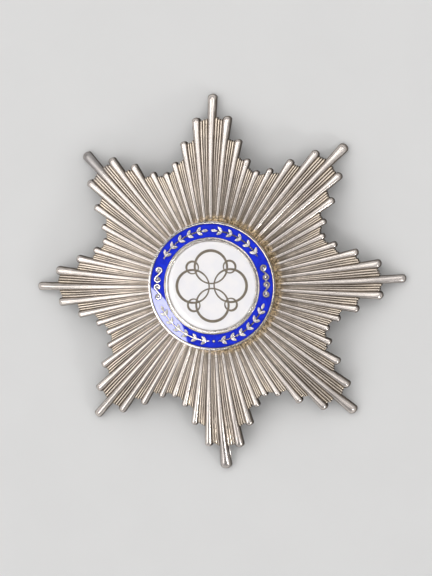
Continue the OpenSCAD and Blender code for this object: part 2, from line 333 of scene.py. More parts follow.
def spun(name, outline, steps):
    """A solid turned round Z from an outline of (radius, height) points."""
    data = bpy.data.meshes.new(name)
    data.from_pydata([(r, 0, z) for r, z in outline], [(i, i + 1) for i in range(len(outline) - 1)], [])
    obj = linked(name, data)
    edit(obj, action="SELECT")
    bpy.ops.mesh.spin(steps=steps, angle=2 * pi, center=(0, 0, 0), axis=(0, 0, 1))
    leave_edit()
    return clean(obj)


def arc(middle_r, middle_z, radius, start, end, steps):
    """Points of an arc of an outline, angles in degrees."""
    angles = [radians(start + (end - start) * i / steps) for i in range(steps + 1)]
    return [(middle_r + radius * cos(a), middle_z + radius * sin(a)) for a in angles]


def tube(name, points, radii, closed=False, sides=3):
    """A round bar that follows the points with a radius for each."""
    data = bpy.data.curves.new(name, "CURVE")
    data.dimensions = "3D"
    data.bevel_depth = 1.0
    data.bevel_resolution = sides
    data.use_fill_caps = True
    line = data.splines.new("POLY")
    line.points.add(len(points) - 1)
    for point, place, radius in zip(line.points, points, radii):
        point.co = (*place, 1)
        point.radius = radius
    line.use_cyclic_u = closed
    select_only(linked(name, data))
    bpy.ops.object.convert(target="MESH")
    return clean(bpy.context.view_layer.objects.active)


def finish_piece(obj, material, node, smooth):
    """Smooths a piece, gives it its material and seats it in the frame."""
    obj.data.materials.clear()
    obj.data.materials.append(material)
    select_only(obj)
    bpy.ops.object.transform_apply(location=True, rotation=True, scale=True)
    bpy.ops.object.shade_smooth_by_angle(angle=radians(smooth))
    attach(obj, BODY)
    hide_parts(node)


# Shape of the star

def groove_z(s, r):
    return s.tip_t + s.dome_rise * (1 - (r / STAR_R) ** s.dome_power)


def half_w(s, r):
    return r * CELL / 2 * s.ray_share


class Ray:
    """One ray: its turn, the root where it starts to stand free, its body and its tip."""

    def __init__(self, s, c, chance):
        self.s = s
        self.rank = abs((c + RAYS_PER_POINT // 2) % RAYS_PER_POINT - RAYS_PER_POINT // 2)
        tip, widens = RAYS[self.rank]
        wander = chance.uniform(-1, 1) * s.length_wander
        if widens:
            self.swell = s.point_swell * POINTS[c // RAYS_PER_POINT]
            wander = -abs(wander)
        else:
            self.swell = s.side_swell * chance.uniform(0.95, 1.07)
        self.tip = STAR_R * tip + wander
        self.turn = TOP + c * CELL + chance.uniform(-1, 1) * s.turn_wander
        self.height = s.ray_round * (1 + 0.05 * chance.uniform(-1, 1))
        self.body = self.tip - half_w(s, self.tip) * self.swell
        shorter = RAYS[self.rank + 1:]
        self.root = STAR_R * shorter[0][0] if shorter else mix(FIRST_R, self.body, 0.8)
        self.mark = chance.random()

    def swell_at(self, r):
        """Widening at a radius: none up to where the ray stands free, then growing to its end."""
        return mix(1, self.swell, clamp((r - self.root) / (self.tip - self.root)) ** 1.3)

    def point(self, u, high, row):
        """Radius, turn, level, recess, ridge, mark and reach at a place across the ray and a row."""
        way, free, cap, height = row
        root = mix(mix(FIRST_R, self.root, way), self.body, free)
        r = root + cap * sqrt(1 - (0.9 * u) ** 2) * (self.tip - self.body)
        w = half_w(self.s, r) * self.swell_at(r)
        relief = mix(1, self.s.ray_fullness, min(1, (r - FIRST_R) / RAY_GROWTH))
        z = groove_z(self.s, r) + self.height * relief * w * high * height
        # Tarnish stays in the groove; on the flanks that fall steeply where the ray stands free, the
        # darkening is a painted shade
        groove = 0.93 - high ** 1.5 * mix(0.6, 1, height)
        steep_shade = clamp((0.9 - high * height) / 0.45)
        recess_and_shade = mix(groove, 0.9 * steep_shade, free)
        return r, self.turn + u * w / r, z, recess_and_shade, 0.0, self.mark, r / self.tip


class Ridge:
    """One fine ridge of the gap between two rays."""

    def __init__(self, s, ray, after, n, length, height):
        self.s, self.ray, self.after, self.height = s, ray, after, height
        longer, shorter = (ray, after) if ray.rank < after.rank else (after, ray)
        middle = (n + 0.5) / RIDGES
        near = 1 - middle if longer is ray else middle
        self.end = shorter.body + near * s.ridge_step + length + 0.3 * s.ridge_bevel
        self.mark = (ray.mark + 0.37 * (n + 1)) % 1
        self.next_turn = after.turn if after.turn > ray.turn else after.turn + 2 * pi

    def point(self, place, x, row):
        """What a ray's point gives, at a place across the gap and x across the ridge."""
        way, free, cap, high = row
        s = self.s
        end = self.end - 0.35 * s.ridge_bevel * x * x
        r = mix(mix(FIRST_R, end - 2 * s.ridge_bevel, way), end - s.ridge_bevel, free) + cap * s.ridge_bevel
        grown = mix(s.ridge_start, 1, min(1, (r - FIRST_R) / RIDGE_GROWTH))
        crest = cos(x * pi / 2) ** 0.8 if abs(x) < 1 else 0.0
        full = self.height * grown * r * CELL * (1 - s.ray_share) / (2 * RIDGES)
        z = groove_z(s, r) + full * crest * high - 0.6 * s.ridge_bevel * (1 - high)
        half = CELL * s.ray_share / 2
        start = self.ray.turn + half * self.ray.swell_at(r)
        turn = mix(start, self.next_turn - half * self.after.swell_at(r), place)
        recess_and_shade = 1 - crest ** 2 * mix(0.5, 1, high) * mix(0.85, 1, grown)
        return r, turn, z, recess_and_shade, 1.0, self.mark, r / end


def ray_columns():
    """Places across a ray: (place from -1 to 1, height share)."""
    turns = [pi * (i / RAY_SEGMENTS - 0.5) for i in range(RAY_SEGMENTS + 1)]
    return [(sin(t), cos(t)) for t in turns]


def gap_columns(foot):
    """Places across the gap after a ray: (place from 0 to 1, ridge, place from -1 to 1 on it)."""
    width = (1 - 2 * foot) / RIDGES
    return [(foot + (n + i / RIDGE_SEGMENTS) * width, n, 2 * i / RIDGE_SEGMENTS - 1)
            for n in range(RIDGES) for i in range(RIDGE_SEGMENTS + (n == RIDGES - 1))]


def face_rows():
    """Rows outwards: (way to the free part, way along it, way round the end, height share)."""
    inner, free, cap = 14, 6, 6
    rows = [(i / inner, 0, 0, 1) for i in range(inner + 1)]
    rows += [(1, i / free, 0, 1) for i in range(1, free + 1)]
    turns = [pi / 2 * i / cap for i in range(1, cap + 1)]
    return rows + [(1, 1, sin(t), cos(t)) for t in turns]


class BREAST_STAR_OT_rays(Operator):
    """Models the silver body of rays and fine ridges with its hollow back"""
    bl_idname = "breast_star.rays"
    bl_label = "Star of rays"

    def execute(self, context):
        settings = context.scene.breast_star
        face = self.face(settings.rays)
        skin = np.concatenate([face, self.back(settings.rays, face)], axis=1)
        finish_piece(self.closed_skin(skin), ray_silver(settings.colours), "star", smooth=42)
        return {"FINISHED"}

    def face(self, s):
        """Columns of points from the medallion outwards, over each ray and the gap after it."""
        chance = random.Random(s.seed)
        rays = [Ray(s, c, chance) for c in range(RAY_COUNT)]
        rows = face_rows()
        columns = []
        for ray, after in zip(rays, rays[1:] + rays[:1]):
            lengths = [chance.uniform(-0.8, 0.6) * s.length_wander for _ in range(RIDGES)]
            heights = [s.ridge_round * chance.uniform(0.7, 1.2) for _ in range(RIDGES)]
            ridges = [Ridge(s, ray, after, n, lengths[n], heights[n]) for n in range(RIDGES)]
            columns += [[ray.point(u, high, row) for row in rows] for u, high in ray_columns()]
            columns += [[ridges[n].point(place, x, row) for row in rows]
                        for place, n, x in gap_columns(s.foot)]
        return np.array(columns)

    def back(self, s, face):
        """Rings of points from the edge down its side, in over the hollow back and up through the hole; the
        edge's sides are marked for a painted dark shade.
        """
        edge_r, edge_turn, edge_z, _, ridge, mark, reach = face[:, -1].T
        base = face[:, 0, 1]
        seat_z = groove_z(s, s.seat_r) + s.ray_round * half_w(s, s.seat_r)
        hub_z = seat_z - s.hub_t
        low = np.clip(groove_z(s, edge_r) - s.plate_t, 0, hub_z)
        shaded_wall = [
            (edge_r, edge_turn, edge_z - 0.6 * SOFT_EDGE),
            (edge_r, edge_turn, low + SOFT_EDGE),
            (edge_r - SOFT_EDGE, edge_turn, low)]
        rings = []
        for f in BACK_ROWS:
            full = f + 0.25 * f * (1 - f)
            rings.append((mix(edge_r, s.flat_r, f), mix(edge_turn, base, f), mix(low, hub_z, full)))
        for r, z in (
                (0.3 * s.flat_r, hub_z),
                (s.hole_r + HOLE_CHAMFER, hub_z),
                (s.hole_r, hub_z + HOLE_CHAMFER),
                (s.hole_r, seat_z - HOLE_CHAMFER),
                (s.hole_r + HOLE_CHAMFER, seat_z),
                (s.seat_r, seat_z)):
            rings.append((np.full_like(edge_r, r), base, np.full_like(edge_r, z)))
        none = np.zeros_like(edge_r)
        # A recess value above 1 marks the edge's sides for a painted dark shade
        found = [np.stack([*ring, none + 1.1, ridge, mark, reach], axis=1) for ring in shaded_wall]
        found += [np.stack([*ring, none + 0.6, none, mark, none], axis=1) for ring in rings]
        return np.stack(found, axis=1)

    def closed_skin(self, skin):
        """A grid with a row for each column of the skin, merged where it meets itself."""
        skin = np.concatenate([skin, skin[:1]], axis=0)
        skin = np.concatenate([skin, skin[:, :1]], axis=1)
        count, rings = skin.shape[:2]
        obj = added(bpy.ops.mesh.primitive_grid_add,
                    x_subdivisions=rings - 1, y_subdivisions=count - 1, size=2 * STAR_R)
        obj.name = "ray_star"
        r, turn, z, recess_and_shade, ridge, mark, reach = skin.reshape(-1, skin.shape[2]).T
        points = np.stack([r * np.cos(turn), r * np.sin(turn), z], axis=1)
        obj.data.vertices.foreach_set("co", points.astype(np.float32).ravel())
        for name, values in (("recess_and_shade", recess_and_shade), ("ridge", ridge), ("mark", mark), ("reach", reach)):
            attribute = obj.data.attributes.new(name, "FLOAT", "POINT")
            attribute.data.foreach_set("value", values.astype(np.float32))
        flow = np.stack([mark * 0.4 + recess_and_shade * 0.0006, r, ridge * 0.01], axis=1)
        attribute = obj.data.attributes.new("flow", "FLOAT_VECTOR", "POINT")
        attribute.data.foreach_set("vector", flow.astype(np.float32).ravel())
        while obj.data.uv_layers:
            obj.data.uv_layers.remove(obj.data.uv_layers[0])
        obj.data.update()
        return clean(obj, distance=1e-7)


# Shape of the medallion

class Levels:
    """Radii and heights of the medallion, worked out from its sizes."""

    def __init__(self, m):
        self.seat = TOP_Z - m.medal_h
        self.floor = self.seat + m.floor_t
        self.ring_out = MEDAL_R - m.rim_w
        self.ring_in = self.ring_out - m.ring_w
        self.ring_mid = (self.ring_out + self.ring_in) / 2
        self.white_r = self.ring_in - m.line_w


def squeeze(obj, height, top):
    """Flattens a piece to this height, with its top at this level."""
    levels = [v.co.z for v in obj.data.vertices]
    high = max(levels)
    scale = height / (high - min(levels))
    for v in obj.data.vertices:
        v.co.z = top + (v.co.z - high) * scale
    return obj


def stand(obj, sunk, drop=0.0):
    """Flattens an ornament that reaches from under the enamel's face to just under the rim's level."""
    return squeeze(obj, TOP_Z - ENAMEL_Z + sunk, TOP_Z - drop)


def ball(segments, radius, place):
    """A flattened ball that stands in the enamel."""
    obj = added(bpy.ops.mesh.primitive_uv_sphere_add, segments=segments,
                ring_count=segments // 2, radius=radius, location=place)
    return stand(obj, sunk=0.0004)


def laurel_leaf(s, high, low):
    """One leaf along +X with its root at the origin, two full halves beside a sunk midrib."""
    obj = added(bpy.ops.mesh.primitive_grid_add, x_subdivisions=10, y_subdivisions=6, size=2)
    radius = (s.leaf_l ** 2 + s.leaf_w ** 2) / (4 * s.leaf_w)
    crest = 0.45
    for v in obj.data.vertices:
        t = v.co.y
        x = s.leaf_l * (1 + v.co.x) / 2
        half = sqrt(max(0, radius ** 2 - (x - s.leaf_l / 2) ** 2)) - (radius - s.leaf_w / 2)
        lens = half / (s.leaf_w / 2)
        fall = max(0, abs(t) - crest) / (1 - crest)
        rib = max(0, 1 - abs(t) / crest)
        v.co = (x, t * half, high - s.leaf_relief * (lens * (fall ** 2 + 0.7 * rib ** 2) + 1 - lens))
    skirt(obj, low)
    return clean(obj, distance=2e-6)


def skirt(obj, low):
    """Extrudes the rim of an open sheet down to a level and closes it below."""
    edit(obj, "EDGE")
    bpy.ops.mesh.select_non_manifold(extend=False, use_wire=False, use_multi_face=False,
                                     use_non_contiguous=False, use_verts=False)
    bpy.ops.mesh.extrude_region_move(TRANSFORM_OT_translate={"value": (0, 0, 0)})
    mesh = bmesh.from_edit_mesh(obj.data)
    for v in mesh.verts:
        if v.select:
            v.co.z = low
    bmesh.update_edit_mesh(obj.data)
    bpy.ops.mesh.edge_face_add()
    leave_edit()


def spray_parts(s, middle, leaf, root, tip):
    """Stem and leaves of one laurel spray round a circle of this radius."""
    way = 1 if tip > root else -1
    pairs = int(abs(tip - root) * middle / s.leaf_pitch)
    steps = 4 * pairs
    shares = [i / steps for i in range(steps + 1)]
    stem = tube("stem", [polar(middle, mix(root, tip, f)) for f in shares],
                [s.stem_w / 2 * mix(1.05, 0.75, f) for f in shares])

    def placed(turn, lean, back=0.0):
        """A leaf at a turn round the circle, leaning from the stem."""
        return copy_of(leaf, (
            Matrix.Rotation(turn, 4, "Z") @ Matrix.Translation((middle, 0, 0))
            @ Matrix.Rotation(way * pi / 2 + lean, 4, "Z") @ Matrix.Translation((-back, 0, 0))))

    leaves = [placed(mix(root, tip, (i + LEAF_START) / pairs), side * s.leaf_lean)
              for i in range(pairs) for side in (-1, 1)]
    stand(stem, sunk=0.00025, drop=0.00004)
    return [stem, *leaves, placed(tip, 0, s.leaf_l / 3)]


def scroll_parts(s):
    """One small scroll about the origin: two curls joined by a straight stroke, each wound in to a ball."""
    r = (s.curl_d - s.scroll_w) / 2
    rise = (s.scroll_l - s.curl_d) / 2
    first, last = CURL_TURNS
    touch = 180 + degrees(asin(r / rise))
    steps = 32
    upper, radii = [], []
    for i in range(steps + 1):
        turn = mix(first, touch, i / steps)
        inward = max(0, (last - turn) / (last - first)) ** 1.5
        x, y, z = polar(r * (1 - 0.36 * inward), radians(turn))
        upper.append((x, rise + y, z))
        radii.append(s.scroll_w / 2 * mix(1.12, 0.75, inward))
    lower = [(-x, -y, 0) for x, y, _ in reversed(upper)]
    line = tube("scroll_line", upper + lower, radii + radii[::-1])
    stand(line, sunk=0.0003, drop=0.00002)
    places = [(side * 0.04 * r, side * (rise - 0.05 * r), 0) for side in (-1, 1)]
    return [line, *[ball(segments=16, radius=s.ball_d / 2, place=place) for place in places]]


def setting_outline(m, levels):
    """Outline of the turned setting, from the axis at the post's head to the axis on the floor."""
    rim = m.rim_round
    under = HEAD_Z + m.head_t
    edge = SOFT_EDGE
    points = [(0, HEAD_Z), (m.head_r - 4 * edge, HEAD_Z)]
    points += arc(m.head_r - 2 * edge, HEAD_Z + 2 * edge, 2 * edge, -80, 0, 4)
    points += [
        (m.head_r, under - edge), (m.head_r - edge, under), (m.post_r, under),
        (m.post_r, levels.seat), (MEDAL_R - edge, levels.seat),
        (MEDAL_R, levels.seat + edge), (MEDAL_R, levels.seat + 0.5 * m.medal_h)]
    points += arc(MEDAL_R - rim, TOP_Z - rim, rim, 0, 90, 5)
    points += arc(levels.ring_out + rim, TOP_Z - rim, rim, 90, 180, 5)
    points += [(levels.ring_out, levels.floor), (levels.ring_in, levels.floor)]
    bead = m.line_w / 3
    soft = 0.4 * bead
    foot = ENAMEL_Z - 0.6 * bead
    for outer, proud in ((levels.ring_in, 0.00005), (levels.white_r + bead, 0.000025)):
        middle = ENAMEL_Z + proud - soft
        points += [(outer, foot)]
        points += arc(outer - soft, middle, soft, 0, 90, 5)
        points += arc(outer - bead + soft, middle, soft, 90, 180, 5)
        points += [(outer - bead, foot)]
    return points + [(levels.white_r, levels.floor), (0, levels.floor)]


class BREAST_STAR_OT_setting(Operator):
    """Turns the medallion's setting and models the laurel, berry and scrolls that stand on it"""
    bl_idname = "breast_star.setting"
    bl_label = "Medallion setting"

    def execute(self, context):
        settings = context.scene.breast_star
        s, m = settings.ornament, settings.medallion
        levels = Levels(m)
        parts = [spun("setting", setting_outline(m, levels), steps=192)]
        leaf = laurel_leaf(s, TOP_Z - 0.00001, levels.floor - 0.2 * m.floor_t)
        for root, tip in SPRAYS:
            parts += spray_parts(s, levels.ring_mid, leaf, radians(root), radians(tip))
        scroll = join(scroll_parts(s), "scroll")
        same, out = Matrix.Identity(4), Matrix.Translation((levels.ring_mid, 0, 0))
        mirror, flip = Matrix.Scale(-1, 4, (1, 0, 0)), Matrix.Scale(-1, 4, (0, 1, 0))
        step = (s.scroll_l + s.scroll_gap) / 2 / levels.ring_mid
        for side in (same, mirror):
            for end, turned in ((-1, flip), (1, same)):
                turn = Matrix.Rotation(radians(SCROLL_RISE) + end * step, 4, "Z")
                parts.append(copy_of(scroll, side @ turn @ out @ turned))
        parts.append(ball(segments=20, radius=s.leaf_w / 2, place=(0, -levels.ring_mid, 0)))
        drop(leaf, scroll)
        material = setting_silver(settings.colours, levels.ring_in)
        finish_piece(join(parts, "setting"), material, "medallion_setting", smooth=35)
        return {"FINISHED"}


class BREAST_STAR_OT_blue_enamel(Operator):
    """Rounds the blue enamel where it meets the metal"""
    bl_idname = "breast_star.blue_enamel"
    bl_label = "Blue enamel"

    def execute(self, context):
        settings = context.scene.breast_star
        obj = copy_of(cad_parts["blue_ring"], Matrix.Identity(4))
        obj.name = "blue_enamel"
        obj.parent = None
        for key in list(obj.keys()):
            del obj[key]
        clean(obj, distance=1e-6)
        edit(obj, "EDGE", "SELECT")
        bpy.ops.mesh.dissolve_limited(angle_limit=radians(1))
        mesh = bmesh.from_edit_mesh(obj.data)
        for edge in mesh.edges:
            on_top = all(v.co.z > ENAMEL_Z - 1e-6 for v in edge.verts)
            edge.select_set(on_top and any(f.normal.z < 0.5 for f in edge.link_faces))
        mesh.select_flush_mode()
        bpy.ops.mesh.bevel(
            offset=settings.medallion.meniscus, segments=3, affect="EDGES", clamp_overlap=True)
        leave_edit()
        finish_piece(obj, blue_enamel(settings.colours), "blue_ring", smooth=50)
        modify(obj, "WEIGHTED_NORMAL", mode="FACE_AREA", weight=100, keep_sharp=True)
        return {"FINISHED"}


class BREAST_STAR_OT_white_enamel(Operator):
    """Turns the white enamel centre with its softly falling edge"""
    bl_idname = "breast_star.white_enamel"
    bl_label = "White enamel"

    def execute(self, context):
        settings = context.scene.breast_star
        m = settings.medallion
        levels = Levels(m)
        top, low = LOOPS_LOW.z, levels.floor + m.fit_gap
        edge = levels.white_r - m.fit_gap
        fall, chamfer, steps = 0.0006, 0.0001, 6
        outline = [(0, low), (edge - chamfer, low), (edge, low + chamfer)]
        outline += [(edge - fall * i / steps, top - m.meniscus * (1 - i / steps) ** 2)
                    for i in range(steps + 1)]
        outline += [(edge - 2 * fall, top), (0.6 * edge, top), (0.3 * edge, top), (0, top)]
        obj = spun("white_enamel", outline, steps=128)
        finish_piece(obj, white_enamel(settings.colours), "white_centre", smooth=50)
        return {"FINISHED"}


class BREAST_STAR_OT_loops(Operator):
    """Models the figure of interlaced loops, thick on their outer sides and thin on the inner"""
    bl_idname = "breast_star.loops"
    bl_label = "Centre loops"

    def execute(self, context):
        settings = context.scene.breast_star
        s = settings.ornament
        parts = []
        steps = 72
        angles = [2 * pi * i / steps for i in range(steps)]
        for turn, place, radius, line in LOOPS:
            wide = line * s.loop_w
            thin = THIN_SHARE * wide
            r = radius * s.loop_r + thin / 2
            halves = [mix(thin, wide, (1 + cos(a)) / 2) / 2 for a in angles]
            path = [((r - h) * cos(a) + place * s.loop_r, (r - h) * sin(a), 0)
                    for a, h in zip(angles, halves)]
            loop = tube("loop", path, halves, closed=True, sides=2)
            squeeze(loop, LOOPS_HIGH.z - LOOPS_LOW.z, LOOPS_HIGH.z)
            for quarter in range(4):
                spin = Matrix.Rotation(radians(turn) + quarter * pi / 2, 4, "Z")
                parts.append(copy_of(loop, spin))
            drop(loop)
        obj = join(parts, "loops")
        finish_piece(obj, loop_gilt(settings.colours), "centre_loops", smooth=50)
        return {"FINISHED"}


class BREAST_STAR_OT_pin(Operator):
    """Models the plain pin on the back: hinge block, tapering wire and catch in one piece"""
    bl_idname = "breast_star.pin"
    bl_label = "Brooch pin"

    def execute(self, context):
        settings = context.scene.breast_star
        s = settings.pin
        foot_z = PIN_HIGH.z
        wire_z = PIN_LOW.z + s.knuckle_r
        half = s.span / 2
        point_l, steps = 0.0016, 24
        straight = -half - point_l
        path = [(0, mix(half, straight, i / steps), wire_z) for i in range(steps + 1)]
        radii = [s.wire_r] * len(path)
        for way, thick in PIN_TAPER:
            path.append((0, mix(straight, PIN_LOW.y, way), wire_z))
            radii.append(s.wire_r * thick)
        parts = [tube("wire", path, radii, sides=5)]
        hinge_w = PIN_HIGH.x - PIN_LOW.x
        for y, width, radius in ((half, hinge_w, s.knuckle_r), (-half, s.catch_w, s.catch_r)):
            leg = added(bpy.ops.mesh.primitive_cube_add, size=1, location=(0, y, (wire_z + foot_z) / 2),
                        scale=(width, s.knuckle_r, foot_z - wire_z))
            barrel = added(bpy.ops.mesh.primitive_cylinder_add, vertices=32, radius=radius, depth=width,
                           location=(0, y, wire_z), rotation=(0, pi / 2, 0))
            parts += [modify(part, "BEVEL", width=SOFT_EDGE, segments=2, limit_method="ANGLE")
                      for part in (leg, barrel)]
        obj = join(parts, "pin")
        finish_piece(obj, pin_silver(settings.colours), "brooch_pin", smooth=35)
        return {"FINISHED"}


# Materials

class Nodes:
    """Short calls that add nodes to a tree."""

    def __init__(self, tree):
        self.tree = tree

    def fill(self, socket, value):
        """Links or sets an input; a colour of three parts becomes an opaque one."""
        if isinstance(value, bpy.types.NodeSocket):
            self.tree.links.new(value, socket)
        elif socket.type == "RGBA" and len(value) == 3:
            socket.default_value = (*value, 1.0)
        else:
            socket.default_value = value

    def add(self, kind, inputs, **values):
        """Adds a node, sets its properties and fills its inputs, which are named or counted."""
        node = self.tree.nodes.new(kind)
        for key, value in values.items():
            setattr(node, key, value)
        for key, value in inputs.items():
            self.fill(node.inputs[key], value)
        return node

    def maths(self, operation, first, others):
        for other in others:
            first = self.add("ShaderNodeMath", {0: first, 1: other}, operation=operation).outputs[0]
        return first

    def plus(self, first, *others):
        return self.maths("ADD", first, others)

    def minus(self, first, *others):
        return self.maths("SUBTRACT", first, others)

    def times(self, first, *others):
        return self.maths("MULTIPLY", first, others)

    def larger(self, first, *others):
        return self.maths("MAXIMUM", first, others)

    def vector(self, operation, a, b=(0, 0, 0), output="Vector"):
        return self.add("ShaderNodeVectorMath", {0: a, 1: b}, operation=operation).outputs[output]

    def ramp(self, value, low, high, start=0.0, end=1.0):
        """A smooth change from start to end while the value goes from low to high."""
        return self.add("ShaderNodeMapRange", {
            "Value": value, "From Min": low, "From Max": high, "To Min": start, "To Max": end},
            interpolation_type="SMOOTHSTEP").outputs[0]

    def noise(self, place, scale, detail, roughness=0.5, distortion=0.0):
        return self.add("ShaderNodeTexNoise", {
            "Vector": place, "Scale": scale, "Detail": detail,
            "Roughness": roughness, "Distortion": distortion}).outputs["Fac"]

    def stretched(self, place, across, turn=0.0):
        """A place with its second axis stretched or drawn out, after a turn."""
        return self.add("ShaderNodeMapping", {
            "Vector": place, "Rotation": (0, 0, turn), "Scale": (1, across, 1)}).outputs[0]

    def mixed(self, factor, a, b):
        """Colour mix of a and b."""
        return self.add("ShaderNodeMix", {0: factor, 6: a, 7: b}, data_type="RGBA").outputs[2]

    def attribute(self, name, output="Fac"):
        return self.add("ShaderNodeAttribute", {}, attribute_name=name).outputs[output]


class Finish(Nodes):
    """A material with the shader that its nodes feed and the Object coordinates that they read."""

    def __init__(self, name):
        self.material = bpy.data.materials.new(name)
        self.material.use_nodes = True
        super().__init__(self.material.node_tree)
        self.tree.nodes.clear()
        out = self.tree.nodes.new("ShaderNodeOutputMaterial")
        self.shader = self.tree.nodes.new("ShaderNodeBsdfPrincipled")
        self.tree.links.new(self.shader.outputs[0], out.inputs[0])
        self.place = self.add("ShaderNodeTexCoord", {}).outputs["Object"]

    def axis(self, name):
        return self.add("ShaderNodeSeparateXYZ", {"Vector": self.place}).outputs[name]

    def flat(self):
        """The place without its height."""
        return self.vector("MULTIPLY", self.place, (1, 1, 0))

    def tarnish(self, recess_and_shade, patches, uneven, amount, speckle=0.0):
        """Mask and grain of the tarnish group."""
        node = self.add("ShaderNodeGroup", {
            "Place": self.place, "Recess": recess_and_shade, "Patches": patches,
            "Uneven": uneven, "Amount": amount, "Speckle": speckle}, node_tree=tarnish_group())
        return node.outputs["Mask"], node.outputs["Grain"]

    def scratches(self, scale, density):
        """Height of the handling scratches."""
        return self.add("ShaderNodeGroup", {
            "Place": self.place, "Scale": scale, "Density": density}, node_tree=scratch_group()).outputs[0]

    def finish(self, inputs, height=0.0, strength=0.0, depth=0.00002):
        """Feeds the shader, with a bump from a height, and returns the material."""
        if strength:
            inputs["Normal"] = self.add("ShaderNodeBump", {
                "Height": height, "Strength": strength, "Distance": depth}).outputs[0]
        for key, value in inputs.items():
            self.fill(self.shader.inputs[key], value)
        return self.material


def shade(rgb, factor):
    return tuple(factor * x for x in rgb)


def new_group(name, inputs, outputs):
    """A shader node group with named inputs, a vector where no default is given, and named outputs."""
    tree = bpy.data.node_groups.new(name, "ShaderNodeTree")
    for label, default in inputs.items():
        kind = "NodeSocketVector" if default is None else "NodeSocketFloat"
        socket = tree.interface.new_socket(name=label, in_out="INPUT", socket_type=kind)
        if default is not None:
            socket.default_value = default
    for label in outputs:
        tree.interface.new_socket(name=label, in_out="OUTPUT", socket_type="NodeSocketFloat")
    return Nodes(tree), tree.nodes.new("NodeGroupInput").outputs, tree.nodes.new("NodeGroupOutput").inputs


def tarnish_group():
    """Where tarnish gathers: recessed places, in uneven patches and fine speckles."""
    name = "Tarnish"
    if name in bpy.data.node_groups:
        return bpy.data.node_groups[name]
    n, start, end = new_group(name, {
        "Place": None, "Recess": 0.5, "Patches": 900.0, "Uneven": 0.5, "Speckle": 0.0, "Amount": 0.5},
        ["Mask", "Grain"])
    patches = n.noise(start["Place"], start["Patches"], 5.0, 0.6)
    grain = n.noise(start["Place"], 4200.0, 2.0, 0.7)
    level = n.plus(
        start["Recess"],
        n.times(n.minus(patches, 0.5), start["Uneven"]),
        n.times(n.minus(grain, 0.5), start["Speckle"]),
        n.minus(start["Amount"], 0.5))
    n.fill(end["Mask"], n.ramp(level, 0.3, 0.85))
    n.fill(end["Grain"], grain)
    return n.tree


def scratch_group():
    """Fine handling scratches in two directions, as a height."""
    name = "Handling scratches"
    if name in bpy.data.node_groups:
        return bpy.data.node_groups[name]
    n, start, end = new_group(name, {"Place": None, "Scale": 300.0, "Density": 0.5}, ["Height"])
    lines = 0.0
    for turn, stretch in ((0.5, 14), (-0.9, 18)):
        streaks = n.noise(n.stretched(start["Place"], stretch, turn), start["Scale"], 3.0, distortion=0.3)
        lines = n.larger(lines, n.ramp(streaks, 0.62, 0.72))
    n.fill(end["Height"], n.times(lines, start["Density"]))
    return n.tree


# Direction towards which the fine ridges are made browner most
BROWN_SIDE = polar(1, radians(62))
# Width of the crust round the medallion
CRUST_W = 0.0034
# Main points with dull grey ends: direction in degrees and how dull, then the
# distances from the tip at which the grey begins and is full
DULL_TIPS = ((135, 0.85), (0, 0.3), (270, 0.35))
DULL_REACH = (0.0095, 0.0035)


